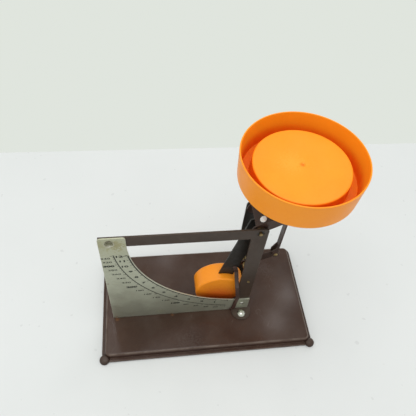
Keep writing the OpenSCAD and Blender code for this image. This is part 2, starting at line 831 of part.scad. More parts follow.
// Round plate that fits the hollow under the pan
module pan_seat() {
    color(paint) difference() {
        translate([pan_x, pan_y, seat_z0]) cylinder(r = seat_r, h = seat_t);
        for (s = [-1, 1]) translate([pan_x + s * seat_rivet_dx, pan_y - seat_rivet_dx, seat_z0 - cut])
            cylinder(r = rivet_r, h = seat_t + 2 * cut);
    }
}

// Rivets that hold the seat on the carrier's flange, flush on top
module seat_rivets() {
    color(nickel) for (s = [-1, 1]) translate([pan_x + s * seat_rivet_dx, pan_y - seat_rivet_dx, 0]) {
        translate([0, 0, seat_z0 - seat_t]) cylinder(r = rivet_r, h = 2 * seat_t);
        translate([0, 0, seat_z0 - seat_t - rivet_head_h]) cylinder(r = rivet_head_r, h = rivet_head_h);
    }
}

// Pin between the pan carrier and the guide link
module lower_link_pin() {
    color(brass) {
        rod(lower_end, pin_r, carrier_y0, carrier_y1);
        domed_head(lower_end, pin_head_r, pin_head_h, carrier_y0);
        rod(lower_end, pin_tail_r, carrier_y1, carrier_y1 + pin_tail_h);
    }
}

// Flat strip with round ends that keeps the carrier upright
module guide_link() {
    color(paint) difference() {
        translate([lower[0], 0, lower[1]]) rotate([0, -link_rise, 0]) sheet(link_y, link_y + lever_t) {
            circle(link_w / 2);
            translate([link_l, 0]) circle(link_w / 2);
            translate([0, -link_w / 2]) square([link_l, link_w]);
        }
        rod(lower, lower_axle_r + run_gap, link_y - cut, link_y + lever_t + cut);
        rod(lower_end, pin_r + shim, link_y - cut, link_y + lever_t + cut);
    }
}

// Round plastic pan with a raised disc in the middle and a groove around it
module pan() {
    bottom_r = pan_r - pan_taper;
    groove_out = bottom_r - pan_t;
    disc_edge = 1;
    disc_draft = 0.4;
    rim_edge = rim_t / 4;
    edge = 0.6;
    color(orange) translate([pan_x, pan_y, pan_z0]) rotate_extrude($fn = 180)
        polygon([[0, pan_h - disc_drop], [disc_r - disc_edge, pan_h - disc_drop],
            [disc_r, pan_h - disc_drop - disc_edge], [disc_r + disc_draft, pan_t], [groove_out, pan_t],
            [pan_r - rim_t, pan_h - rim_edge], [pan_r - rim_t + rim_edge, pan_h], [pan_r - rim_edge, pan_h],
            [pan_r, pan_h - rim_edge], [bottom_r, disc_edge], [bottom_r - disc_edge, 0],
            [disc_r - pan_t + edge, 0], [disc_r - pan_t, edge], [disc_r - pan_t, disc_under],
            [0, disc_under]]);
}

base_plate();
corner_feet();
front_frame();
rear_upright();
frame_screws();
frame_washers();
frame_nuts();
scale_plate();
scale_eyelet();
scale_rivet();
axle_bushes();
lower_axle();
lower_spacers();
lever_channel();
pendulum_arm();
arm_rivet();
upper_axle();
thrust_washers();
pointer();
pointer_rivet();
weight_shell();
weight_cover();
weight_core();
weight_screw();
weight_nut();
upper_link_pin();
upper_spacer();
pan_carrier();
pan_seat();
seat_rivets();
lower_link_pin();
guide_link();
pan();
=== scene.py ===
"""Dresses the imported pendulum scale: its finishes, the printed graduation and the moulded pan."""

import logging
import math
from collections.abc import Iterable, Mapping
from dataclasses import dataclass, replace
from enum import Enum
from typing import Any

import bmesh
import bpy
import numpy as np
from mathutils import Matrix, Vector

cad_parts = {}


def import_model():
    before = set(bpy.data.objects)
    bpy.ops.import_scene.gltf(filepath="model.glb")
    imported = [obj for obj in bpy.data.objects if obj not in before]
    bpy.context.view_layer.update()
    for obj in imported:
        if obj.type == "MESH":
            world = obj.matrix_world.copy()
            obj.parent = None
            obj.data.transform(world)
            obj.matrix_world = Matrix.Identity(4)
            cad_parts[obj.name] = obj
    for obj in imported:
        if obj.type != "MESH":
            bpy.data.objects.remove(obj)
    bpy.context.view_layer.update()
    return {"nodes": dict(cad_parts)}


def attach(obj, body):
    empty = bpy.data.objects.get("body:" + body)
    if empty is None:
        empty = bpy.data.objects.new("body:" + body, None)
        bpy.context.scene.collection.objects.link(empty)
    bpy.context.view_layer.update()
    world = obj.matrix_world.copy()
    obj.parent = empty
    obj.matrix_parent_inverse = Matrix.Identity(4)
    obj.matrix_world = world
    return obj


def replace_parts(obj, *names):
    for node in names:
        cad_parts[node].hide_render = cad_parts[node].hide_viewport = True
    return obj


MM = 0.001
Colour = tuple[float, float, float]
Point = tuple[float, float, float]
Pair = tuple[float, float]
Shell = tuple[np.ndarray, np.ndarray]
Socket = bpy.types.NodeSocket
Tree = bpy.types.NodeTree
Piece = bpy.types.Object
Nodes = Mapping[str, Piece]
Names = tuple[str, ...]
LOG = logging.getLogger("scale")

# Gloss drifts in finer clouds than tone, dust and the marks are rougher, and wear and painted highlight sink
# a little under the grain
GLOSS_CLOUDS = 2.3
GLOSS_SPAN: Pair = (0.35, 0.65)
MATT_GAIN = 0.35
WEAR_AND_HIGHLIGHT_DEPTH = 0.5


class Effect(Enum):
    """The shader effects that several finishes share."""

    ROUNDED_EDGE = "rounded edge"
    GRAIN = "grain"
    SCRATCHES = "scratches"
    DUST = "settled dust"
    RUBBED_BEND = "bend wear and highlight"
    GRIME = "grime"
    STAIN = "stain"


class Graph:
    """A node tree with short calls for the nodes that the finishes use."""

    def __init__(self, tree: Tree) -> None:
        """Keeps the tree and makes its one coordinate node.

        Args:
            tree: the tree of a material or of a group.
        """
        self.tree = tree
        self.place = self.add("TexCoord").outputs["Object"]

    def add(self, kind: str, values: Mapping[Any, Any] | None = None, **settings: Any) -> bpy.types.Node:
        """Adds one node.

        Args:
            kind: the node's type, without its common prefix.
            values: input names or numbers, each with a plain value or with a socket to link.
            settings: the node's own properties.

        Returns:
            The node.
        """
        node = self.tree.nodes.new("ShaderNode" + kind)
        for name, value in settings.items():
            setattr(node, name, value)
        for name, value in (values or {}).items():
            if isinstance(value, Socket):
                self.tree.links.new(value, node.inputs[name])
            else:
                node.inputs[name].default_value = value
        return node

    def math(self, operation: str, *terms: Any, clamp: bool = False) -> Socket:
        """Does one sum on sockets or numbers.

        Args:
            operation: the Math node's operation.
            terms: its two or three terms.
            clamp: True keeps the result from 0 to 1.

        Returns:
            The result's socket.
        """
        return self.add("Math", dict(enumerate(terms)), operation=operation, use_clamp=clamp).outputs[0]

    def remap(self, value: Any, low: float, high: float, to_low: float = 0.0, to_high: float = 1.0) -> Socket:
        """Takes a value from one span to another with soft ends.

        Args:
            value: the socket to read.
            low: where the first span starts.
            high: where the first span ends.
            to_low: what low becomes.
            to_high: what high becomes.

        Returns:
            The new value's socket.
        """
        terms = dict(enumerate((value, low, high, to_low, to_high)))
        return self.add("MapRange", terms, interpolation_type="SMOOTHSTEP").outputs[0]

    def mix(self, share: Any, first: Any, second: Any) -> Socket:
        """Mixes two colours.

        Args:
            share: how much of the second colour shows, from 0 to 1.
            first: a socket, or red, green and blue.
            second: a socket, or red, green and blue.

        Returns:
            The mixed colour's socket.
        """
        ends = [c if isinstance(c, Socket) else (*c, 1.0) for c in (first, second)]
        return self.add("Mix", {0: share, 6: ends[0], 7: ends[1]}, data_type="RGBA").outputs[2]

    def noise(self, scale: Any, detail: float = 4.0, place: Any = None, rough: float = 0.55) -> Socket:
        """Reads cloudy noise.

        Args:
            scale: how many clouds fit in a metre.
            detail: how many finer layers it has.
            place: the point to read at, or None for the object's own coordinates.
            rough: how strong the finer layers are.

        Returns:
            The noise's socket, about 0.5 on average.
        """
        terms = {"Vector": place or self.place, "Scale": scale, "Detail": detail, "Roughness": rough}
        return self.add("TexNoise", terms).outputs["Fac"]

    def turned(self, angle: float, stretch: Any) -> Socket:
        """Turns the coordinates about every axis and stretches them.

        Args:
            angle: the turn in radians.
            stretch: the scale along each turned axis, as a triple or a socket.

        Returns:
            The changed coordinates.
        """
        first = self.add("Mapping", {"Vector": self.place, "Rotation": (angle, 0.6 * angle, 1.4 * angle)})
        return self.add("VectorMath", {0: first.outputs[0], 1: stretch}, operation="MULTIPLY").outputs[0]

    def upward(self) -> Socket:
        """Gives the height of the surface's normal, 1 where it faces up."""
        return self.add("SeparateXYZ", {0: self.add("NewGeometry").outputs["Normal"]}).outputs["Z"]

    def weighed(self, first: Any, second: Any, shares: Pair) -> Socket:
        """Adds two values, each times its own share."""
        parts = (self.math("MULTIPLY", value, share) for value, share in zip((first, second), shares))
        return self.math("ADD", *parts)

    def masked(self, first: Any, second: Any, amount: Any) -> Socket:
        """Multiplies two masks and an amount, and keeps the result from 0 to 1."""
        return self.math("MULTIPLY", self.math("MULTIPLY", first, second), amount, clamp=True)

    def close(self, **results: Socket) -> Tree:
        """Makes a group's outputs and links the results to them.

        Args:
            results: each output's name and the socket that feeds it.

        Returns:
            The group.
        """
        for name, result in results.items():
            kind = "NodeSocketVector" if result.type == "VECTOR" else "NodeSocketFloat"
            self.tree.interface.new_socket(name=name, in_out="OUTPUT", socket_type=kind)
        out = self.tree.nodes.new("NodeGroupOutput").inputs
        for name, result in results.items():
            self.tree.links.new(result, out[name])
        return self.tree


def emptied(owner: bpy.types.Material | bpy.types.World) -> Graph:
    """Clears a new material or world.

    Args:
        owner: the material or world.

    Returns:
        Its empty graph.
    """
    owner.use_nodes = True
    owner.node_tree.nodes.clear()
    return Graph(owner.node_tree)


class Effects:
    """The shared node groups, each built once when a finish first asks for it.

    Each span is where a mask starts and where it is full. It is read on a noise, a normal or a distance.
    """

    samples = 8
    edge_span: Pair = (0.03, 0.22)
    edge_patch: Pair = (0.42, 0.62)
    bend_start: Pair = (0.45, 0.7)
    bend_end: Pair = (0.90, 0.985)
    bend_patch: Pair = (0.30, 0.62)
    bend_least = 0.25
    # Spans and clouds of the painted shade in hollows.
    grime_span: Pair = (0.66, 0.26)
    grime_clouds = 120.0
    grime_patch: Pair = (0.3, 0.6)
    grime_least = 0.8
    middle_scale = 0.23
    streak_scale = 0.5
    height_shares: Pair = (0.4, 0.6)
    tone_shares: Pair = (0.75, 0.25)
    tone_span: Pair = (0.34, 0.66)
    scratch_sets = ((0.5, (1.0, 0.05, 0.6)), (1.35, (0.06, 1.0, 0.5)))
    scratch_half = 0.006
    scratch_patch: Pair = (0.52, 0.66)
    dust_facing: Pair = (0.35, 0.95)
    dust_clouds = 38.0
    dust_patch: Pair = (0.35, 0.7)
    speck_span: Pair = (0.66, 0.74)
    dust_shares: Pair = (0.6, 0.7)
    stain_rags = 700.0
    stain_throw = 4.0
    stain_span: Pair = (0.25, 1.0)

    def __init__(self) -> None:
        """Starts with no group built."""
        self.groups: dict[Effect, Tree] = {}

    def use(self, graph: Graph, effect: Effect, **values: Any) -> bpy.types.Node:
        """Places an effect in a material.

        Args:
            graph: the material's graph.
            effect: which effect.
            values: the effect's inputs, with an underscore for a space.

        Returns:
            The group's node.
        """
        if effect not in self.groups:
            self.groups[effect] = getattr(self, effect.name.lower())()
        node = graph.add("Group", node_tree=self.groups[effect])
        for name, value in values.items():
            node.inputs[name.replace("_", " ").capitalize()].default_value = value
        return node

    @staticmethod
    def start(effect: Effect, **inputs: Any) -> tuple[Graph, Any]:
        """Makes a group with its inputs.

        Args:
            effect: the effect that names the group.
            inputs: each input's usual value, a number or three numbers.

        Returns:
            The group's graph and its input sockets.
        """
        tree = bpy.data.node_groups.new(effect.value, "ShaderNodeTree")
        for name, value in inputs.items():
            kind = "NodeSocketFloat" if isinstance(value, float) else "NodeSocketVector"
            tree.interface.new_socket(name=name, in_out="INPUT", socket_type=kind).default_value = value
        return Graph(tree), tree.nodes.new("NodeGroupInput").outputs

    def rounded_edge(self) -> Tree:
        """Builds the soft edge: its normal, and a mask where the rounded normal leaves the flat one.

        Returns:
            The group.
        """
        graph, given = self.start(Effect.ROUNDED_EDGE, Radius=0.0004, Patches=250.0, Cover=0.0, Amount=1.0)
        bent = graph.add("Bevel", {"Radius": given["Radius"]}, samples=self.samples).outputs[0]
        flat = graph.add("NewGeometry").outputs["Normal"]
        along = graph.add("VectorMath", {0: bent, 1: flat}, operation="DOT_PRODUCT").outputs["Value"]
        edge = graph.remap(graph.math("SUBTRACT", 1.0, along), *self.edge_span)
        patch = graph.math("ADD", graph.noise(given["Patches"], 5.0), given["Cover"])
        # The mask is edge wear; on the tray and the links it also paints the highlight of lit edges.
        wear_and_highlight_mask = graph.masked(edge, graph.remap(patch, *self.edge_patch), given["Amount"])
        return graph.close(Mask=wear_and_highlight_mask, Normal=bent)

    def rubbed_bend(self) -> Tree:
        """Builds patches along a wide bend, where the surface leans between flat and upright: paint wear and
        a painted highlight.

        Returns:
            The group.
        """
        graph, given = self.start(Effect.RUBBED_BEND, Patches=90.0, Amount=1.0)
        up = graph.upward()
        start, end = graph.remap(up, *self.bend_start), graph.remap(up, *self.bend_end, 1.0, 0.0)
        patch = graph.remap(graph.noise(given["Patches"], 5.0), *self.bend_patch, self.bend_least, 1.0)
        return graph.close(Mask=graph.masked(graph.math("MULTIPLY", start, end), patch, given["Amount"]))

    def grime(self) -> Tree:
        """Builds painted shade in deep hollows: how much open sky the piece hides from itself, in soft
        clouds.

        Returns:
            The group.
        """
        graph, given = self.start(Effect.GRIME, Reach=0.014, Amount=1.0)
        open_sky = graph.add("AmbientOcclusion", {"Distance": given["Reach"]}, samples=self.samples,
                             only_local=True).outputs["AO"]
        cloud = graph.remap(graph.noise(self.grime_clouds, 4.0), *self.grime_patch, self.grime_least, 1.0)
        mask = graph.masked(graph.remap(open_sky, *self.grime_span), cloud, given["Amount"])
        return graph.close(Mask=mask)

    def grain(self) -> Tree:
        """Builds the grain: a fine height, and a slow drift of tone, from two scales of stretched noise.

        Returns:
            The group.
        """
        graph, given = self.start(Effect.GRAIN, Fine=1500.0, Broad=60.0, Stretch=(1.0, 1.0, 1.0))
        place = graph.turned(0.0, given["Stretch"])
        fine = graph.noise(given["Fine"], 3.0, place)
        middle = graph.noise(graph.math("MULTIPLY", given["Fine"], self.middle_scale), 2.0, place)
        broad = graph.noise(given["Broad"], 6.0)
        streak = graph.noise(graph.math("MULTIPLY", given["Fine"], self.streak_scale), 2.0, place)
        tone = graph.remap(graph.weighed(broad, streak, self.tone_shares), *self.tone_span)
        return graph.close(Height=graph.weighed(fine, middle, self.height_shares), Tone=tone)

    def scratches(self) -> Tree:
        """Builds thin scratches: narrow bands of two sets of long noise, kept only in some patches.

        Returns:
            The group.
        """
        graph, given = self.start(Effect.SCRATCHES, Scale=90.0, Amount=1.0)
        masks = []
        for angle, stretch in self.scratch_sets:
            lines = graph.noise(given["Scale"], 2.0, graph.turned(angle, stretch), rough=0.4)
            off = graph.math("ABSOLUTE", graph.math("SUBTRACT", lines, 0.5))
            masks.append(graph.remap(off, 0.0, self.scratch_half, 1.0, 0.0))
        wide = graph.noise(graph.math("MULTIPLY", given["Scale"], 0.5), 3.0)
        patch = graph.remap(wide, *self.scratch_patch)
        return graph.close(Mask=graph.masked(graph.math("MAXIMUM", *masks), patch, given["Amount"]))

    def dust(self) -> Tree:
        """Builds settled dust: how far the surface faces up, times soft clouds and fine specks.

        Returns:
            The group.
        """
        graph, given = self.start(Effect.DUST, Amount=0.3, Specks=900.0)
        up = graph.remap(graph.upward(), *self.dust_facing)
        cloud = graph.remap(graph.noise(self.dust_clouds, 5.0), *self.dust_patch)
        specks = graph.remap(graph.noise(given["Specks"], 2.0), *self.speck_span)
        layer = graph.weighed(cloud, specks, self.dust_shares)
        return graph.close(Mask=graph.masked(layer, up, given["Amount"]))

    def stain(self) -> Tree:
        """Builds a ragged round mark, real or painted light or shade: the distance from its middle, roughened
        by noise, fades it out.

        Returns:
            The group.
        """
        graph, given = self.start(Effect.STAIN, Centre=(0.0, 0.0, 0.0), Radius=0.003, Ragged=0.7, Amount=1.0)
        points = {0: graph.place, 1: given["Centre"]}
        away = graph.add("VectorMath", points, operation="DISTANCE").outputs["Value"]
        away = graph.math("DIVIDE", away, given["Radius"])
        rough = graph.math("SUBTRACT", graph.noise(self.stain_rags, 5.0), 0.5)
        rough = graph.math("MULTIPLY", rough, self.stain_throw)
        away = graph.math("ADD", away, graph.math("MULTIPLY", rough, given["Ragged"]))
        mask = graph.math("MULTIPLY", graph.remap(away, *self.stain_span, 1.0, 0.0), given["Amount"])
        return graph.close(Mask=mask)


@dataclass(frozen=True)
class Stain:
    """One ragged mark on a finish, real rust or tarnish or else painted light or shade: its middle and radius
    in metres, its colour and its strength.
    """

    centre: Point
    radius: float
    colour: Colour
    amount: float = 0.8
    ragged: float = 0.7


@dataclass(frozen=True)
class Finish:
    """A surface finish: its colours, its gloss, its grain, its wear, and any painted light or shade."""

    name: str
    slot: str
    colour: Colour
    shade: Colour
    worn: Colour
    roughness: float = 0.4
    drift: float = 0.12
    metallic: float = 0.0
    worn_metallic: float = 0.0
    edge: float = 0.35 * MM
    wear: float = 0.5
    patches: float = 250.0
    cover: float = 0.0
    fine: float = 1500.0
    broad: float = 60.0
    stretch: Point = (1.0, 1.0, 1.0)
    depth: float = 0.01 * MM
    bend: float = 0.0
    grime: float = 0.0
    grime_colour: Colour = (0.05, 0.045, 0.04)
    scratch: float = 0.3
    dust: float = 0.2
    dust_colour: Colour = (0.42, 0.40, 0.36)
    coat: float = 0.0
    coat_roughness: float = 0.1
    specular: float = 0.5
    stains: tuple[Stain, ...] = ()

    def tinted(self, graph: Graph, effects: Effects, tone: Socket) -> tuple[Socket, Any]:
        """Mixes the colour under the wear: two tones, then painted shade in hollows, then the marks, real
        ones and painted light or shade.

        Args:
            graph: the material's graph.
            effects: the shared node groups.
            tone: how far the colour is from the shade.

        Returns:
            The colour, and the marks' mask, or 0 without marks.
        """
        colour = graph.mix(tone, self.shade, self.colour)
        # Painted shade: hollows darken towards the shade colour.
        if self.grime:
            deep = effects.use(graph, Effect.GRIME, amount=self.grime).outputs["Mask"]
            colour = graph.mix(deep, colour, self.grime_colour)
        marks: Any = 0.0
        # Each mark is real rust or tarnish, or painted light or shade.
        for mark in self.stains:
            mask = effects.use(graph, Effect.STAIN, centre=mark.centre, radius=mark.radius,
                               ragged=mark.ragged, amount=mark.amount).outputs["Mask"]
            colour = graph.mix(mask, colour, mark.colour)
            marks = graph.math("MAXIMUM", marks, mask)
        return colour, marks

    def metal(self, graph: Graph, wear_and_highlight: Socket, marks: Any, dust: Socket) -> Any:
        """Works out how metallic it is: wear and painted highlight move it towards the metal beneath, and the
        marks and dust hide it.

        Args:
            graph: the material's graph.
            wear_and_highlight: the mask of the wear and of the painted highlight.
            marks: the mask of the marks, real and painted.
            dust: the mask of the dust.

        Returns:
            A socket, or a number where nothing changes it.
        """
        if self.worn_metallic == self.metallic and not (self.stains and self.metallic):
            return self.metallic
        metal = graph.remap(wear_and_highlight, 0.0, 1.0, self.metallic, self.worn_metallic)
        if self.stains:
            metal = graph.math("MULTIPLY", metal, graph.math("SUBTRACT", 1.0, marks))
        return graph.math("MULTIPLY", metal, graph.math("SUBTRACT", 1.0, dust))

    def build(self, effects: Effects) -> bpy.types.Material:
        """Makes the material: tone with painted shade and marks, scratches, edge and bend wear with painted
        highlight, and dust.

        Args:
            effects: the shared node groups.

        Returns:
            The material.
        """
        material = bpy.data.materials.new(self.name)
        graph = emptied(material)
        grain = effects.use(graph, Effect.GRAIN, fine=self.fine, broad=self.broad,
                            stretch=self.stretch).outputs
        edge = effects.use(graph, Effect.ROUNDED_EDGE, radius=self.edge, patches=self.patches,
                           cover=self.cover, amount=self.wear).outputs
        lines = effects.use(graph, Effect.SCRATCHES, amount=self.scratch).outputs["Mask"]
        dust = effects.use(graph, Effect.DUST, amount=self.dust).outputs["Mask"]
        colour, marks = self.tinted(graph, effects, grain["Tone"])
        wear_and_highlight = graph.math("MAXIMUM", edge["Mask"], lines)
        # Patches along the bend: paint wear and painted highlight.
        if self.bend:
            band = effects.use(graph, Effect.RUBBED_BEND, amount=self.bend).outputs["Mask"]
            wear_and_highlight = graph.math("MAXIMUM", wear_and_highlight, band)
        colour = graph.mix(dust, graph.mix(wear_and_highlight, colour, self.worn), self.dust_colour)
        spread = graph.remap(graph.noise(self.broad * GLOSS_CLOUDS, 5.0), *GLOSS_SPAN,
                             self.roughness - self.drift / 2, self.roughness + self.drift / 2)
        matt = graph.math("MAXIMUM", dust, marks) if self.stains else dust
        rough = graph.math("ADD", spread, graph.math("MULTIPLY", matt, MATT_GAIN), clamp=True)
        height = graph.math("SUBTRACT", grain["Height"], graph.math("MULTIPLY", wear_and_highlight, WEAR_AND_HIGHLIGHT_DEPTH))
        bump = graph.add("Bump", {"Strength": 1.0, "Distance": self.depth, "Height": height,
                                  "Normal": edge["Normal"]}).outputs[0]
        shader = graph.add("BsdfPrincipled", {
            "Base Color": colour, "Roughness": rough, "Normal": bump, "Coat Weight": self.coat,
            "Coat Roughness": self.coat_roughness, "Specular IOR Level": self.specular,
            "Metallic": self.metal(graph, wear_and_highlight, marks, dust)})
        graph.add("OutputMaterial", {0: shader.outputs[0]})
        return material


RUST: Colour = (0.15, 0.06, 0.02)
TARNISH: Colour = (0.30, 0.255, 0.10)

# Its wide edge wear and bend patches are partly real paint wear and partly painted highlight where the lamps
# catch the tray's rounded edges.
ENAMEL = Finish(
    "brown enamel", "base_paint", colour=(0.047, 0.019, 0.0095), shade=(0.035, 0.0135, 0.007),
    worn=(0.17, 0.13, 0.105), roughness=0.42, worn_metallic=0.2, edge=0.9 * MM, wear=0.7, cover=0.05,
    bend=0.75, depth=0.012 * MM, fine=900.0, broad=22.0, scratch=0.22, dust=0.06, coat=0.24,
    coat_roughness=0.14, specular=0.2, stains=(
        Stain((-0.0890, -0.0165, 0.009), 3.0 * MM, RUST, 0.6),
        Stain((-0.0344, -0.0162, 0.009), 2.0 * MM, RUST, 0.5),
        Stain((0.070, 0.030, 0.009), 9 * MM, (0.085, 0.06, 0.05), 0.35, 1.1),
        Stain((-0.020, -0.047, 0.009), 12 * MM, (0.075, 0.052, 0.042), 0.35, 1.1)))
FRAME = replace(
    ENAMEL, name="frame enamel", colour=(0.052, 0.033, 0.022), shade=(0.038, 0.024, 0.016),
    worn=(0.16, 0.11, 0.08), edge=0.35 * MM, bend=0.0, coat=0.12, stains=())
# Its light edges are partly paint wear and partly painted highlight on the lit front edges.
LINK = replace(
    ENAMEL, name="link enamel", colour=(0.062, 0.034, 0.025), shade=(0.040, 0.021, 0.015),
    worn=(0.22, 0.16, 0.13), edge=0.35 * MM, cover=0.10, wear=0.9, bend=0.0, coat=0.06, stains=())
BLACKING = Finish(
    "blackened steel", "black_finish", colour=(0.018, 0.014, 0.010), shade=(0.010, 0.008, 0.006),
    worn=(0.11, 0.085, 0.055), roughness=0.46, drift=0.2, specular=0.35, worn_metallic=0.5, edge=0.3 * MM,
    depth=0.008 * MM, broad=90.0, scratch=0.4, dust=0.10)
# Its deep hollows, such as the pan's groove, are darkened to a deep red-orange: painted shade.
ORANGE = Finish(
    "orange plastic", "orange_plastic", colour=(0.97, 0.325, 0.012), shade=(0.94, 0.295, 0.009),
    worn=(0.95, 0.38, 0.04), drift=0.08, edge=0.6 * MM, wear=0.35, depth=0.004 * MM, fine=1100.0,
    broad=26.0, scratch=0.16, dust=0.05, dust_colour=(0.85, 0.50, 0.20), grime=0.85,
    grime_colour=(0.78, 0.10, 0.002), specular=0.27)
# Its one mark is painted shade: the drum's lower front, darkened where the scale sheet in front shades it.
CASE = replace(
    ORANGE, name="case plastic", colour=(0.96, 0.330, 0.014), shade=(0.90, 0.280, 0.010), roughness=0.33,
    dust=0.08, stains=(Stain((0.011, -0.0094, 0.020), 41 * MM, (0.52, 0.078, 0.003), 0.95, 0.06),))
FOOT = Finish(
    "dark foot plastic", "foot_plastic", colour=(0.050, 0.027, 0.018), shade=(0.036, 0.019, 0.013),
    worn=(0.10, 0.07, 0.055), roughness=0.45, edge=0.5 * MM, wear=0.4, scratch=0.2, dust=0.12, specular=0.3)
SHEET = Finish(
    "lacquered sheet", "scale_sheet", colour=(0.51, 0.525, 0.415), shade=(0.45, 0.46, 0.355),
    worn=(0.86, 0.86, 0.74), roughness=0.42, drift=0.10, metallic=0.7, worn_metallic=0.25, edge=0.5 * MM,
    wear=0.85, patches=160.0, cover=0.16, fine=2600.0, broad=34.0, stretch=(0.06, 1.0, 1.0),
    depth=0.003 * MM, scratch=0.12, dust=0.06, stains=(
        Stain((-0.0850, -0.0149, 0.1440), 30 * MM, (0.42, 0.42, 0.26), 0.55, 0.4),
        Stain((-0.0784, -0.0149, 0.1385), 8.0 * MM, TARNISH, 0.6, 1.0),
        Stain((-0.0905, -0.0149, 0.1400), 5.5 * MM, TARNISH, 0.35, 1.0),
        Stain((-0.0905, -0.0149, 0.0781), 1.8 * MM, RUST, 0.6),
        Stain((-0.0894, -0.0149, 0.0105), 2.4 * MM, RUST, 0.7),
        Stain((-0.0344, -0.0149, 0.0100), 1.5 * MM, RUST, 0.7),
        Stain((-0.045, -0.0149, 0.016), 5.0 * MM, TARNISH, 0.25)))
POINTER = Finish(
    "red-brown paint", "pointer_paint", colour=(0.066, 0.030, 0.021), shade=(0.044, 0.020, 0.014),
    worn=(0.15, 0.10, 0.08), roughness=0.42, worn_metallic=0.3, edge=0.2 * MM, depth=0.006 * MM, dust=0.05)
BRASS = Finish(
    "dull brass", "brass", colour=(0.33, 0.24, 0.11), shade=(0.19, 0.13, 0.06), worn=(0.55, 0.44, 0.22),
    metallic=0.9, worn_metallic=0.95, edge=0.25 * MM, wear=0.4, broad=300.0, depth=0.004 * MM, dust=0.05)
NICKEL = Finish(
    "nickel plate", "bright_steel", colour=(0.72, 0.72, 0.66), shade=(0.55, 0.55, 0.50),
    worn=(0.62, 0.55, 0.42), roughness=0.24, metallic=1.0, worn_metallic=0.9, edge=0.3 * MM, wear=0.35,
    broad=400.0, depth=0.004 * MM, dust=0.04)
# A near-white, barely metallic finish: the painted reflection of the bright ceiling on the rivet's shiny
# head.
PAINTED_GLARE_RIVET = replace(
    NICKEL, name="rivet with painted glare", colour=(0.97, 0.97, 0.94), shade=(0.93, 0.93, 0.90), roughness=0.5,
    drift=0.04, metallic=0.1, worn_metallic=0.1, wear=0.0, scratch=0.0)
# Both marks are painted light: a pale lower inside, painted highlight where the cup's lower wall is lit, and
# a dark upper crescent, painted shade inside the cup.
EYELET = Finish(
    "dull eyelet", "bright_steel", colour=(0.50, 0.50, 0.38), shade=(0.44, 0.43, 0.31),
    worn=(0.50, 0.40, 0.25), roughness=0.5, metallic=0.15, worn_metallic=0.15, edge=0.15 * MM, wear=0.0,
    depth=0.002 * MM, scratch=0.0, stains=(
        Stain((-0.0835, -0.0149, 0.1397), 2.9 * MM, (0.85, 0.86, 0.78), 0.9, 0.1),
        Stain((-0.0835, -0.0149, 0.1446), 4.2 * MM, (0.075, 0.06, 0.035), 0.95, 0.12)))
IRON = Finish(
    "raw iron", "core_iron", colour=(0.22, 0.21, 0.20), shade=(0.14, 0.13, 0.12), worn=(0.35, 0.33, 0.31),
    roughness=0.6, metallic=0.7, worn_metallic=0.9, fine=500.0, depth=0.05 * MM,
    stains=(Stain((0.010, 0.0, 0.045), 9 * MM, RUST, 0.5, 1.2),))
INK = Finish(
    "dial ink", "", colour=(0.008, 0.010, 0.007), shade=(0.022, 0.026, 0.019), worn=(0.34, 0.34, 0.28),
    roughness=0.5, wear=0.0, broad=110.0, depth=0.002 * MM, scratch=0.2, dust=0.02, specular=0.3)


def dress(pieces: Iterable[Piece], material: bpy.types.Material) -> None:
    """Puts one material in every slot of each piece.

    Args:
        pieces: CAD nodes or new pieces.
        material: the finished material.
    """
    for piece in pieces:
        if not piece.material_slots:
            piece.data.materials.append(material)
        for held in piece.material_slots:
            held.material = material
        LOG.info("%s wears %s", piece.name, material.name)


def grid_faces(rows: int, columns: int, closed: bool = False) -> np.ndarray:
    """Gives the four-sided faces of a grid of points.

    A face takes the point at (i, j), the next in its row, and the same two in the next row. A closed grid
    joins its last column to its first.

    Args:
        rows: how many rows of points.
        columns: how many points in a row.
        closed: whether each row is a ring.

    Returns:
        An array with four point numbers in each row.
    """
    i, j = np.meshgrid(np.arange(rows - 1), np.arange(columns - (not closed)), indexing="ij")
    after = (j + 1) % columns
    corners = (i * columns + j, i * columns + after, (i + 1) * columns + after, (i + 1) * columns + j)
    return np.stack(corners, -1).reshape(-1, 4)


def make_piece(name: str, points: np.ndarray, faces: np.ndarray, smooth: bool = True,
               toward: Point | None = None) -> Piece:
    """Makes a mesh object at the origin, with its doubles merged and its faces outwards.

    Args:
        name: the piece's name.
        points: one row of x, y and z in metres for each point.
        faces: point numbers, one row for each face.
        smooth: whether it is shaded smooth.
        toward: which way every face of a flat print looks, or None for other shapes.

    Returns:
        The object, linked to the scene.
    """
    mesh = bpy.data.meshes.new(name)
    mesh.from_pydata(points.reshape(-1, 3).tolist(), [], faces.tolist())
    work = bmesh.new()
    work.from_mesh(mesh)
    bmesh.ops.remove_doubles(work, verts=work.verts, dist=1e-7)
    bmesh.ops.recalc_face_normals(work, faces=work.faces)
    if toward:
        away = [face for face in work.faces if face.normal.dot(Vector(toward)) < 0]
        bmesh.ops.reverse_faces(work, faces=away)
    work.to_mesh(mesh)
    work.free()
    mesh.polygons.foreach_set("use_smooth", np.full(len(mesh.polygons), smooth))
    mesh.update()
    piece = bpy.data.objects.new(name, mesh)
    bpy.context.scene.collection.objects.link(piece)
    return piece


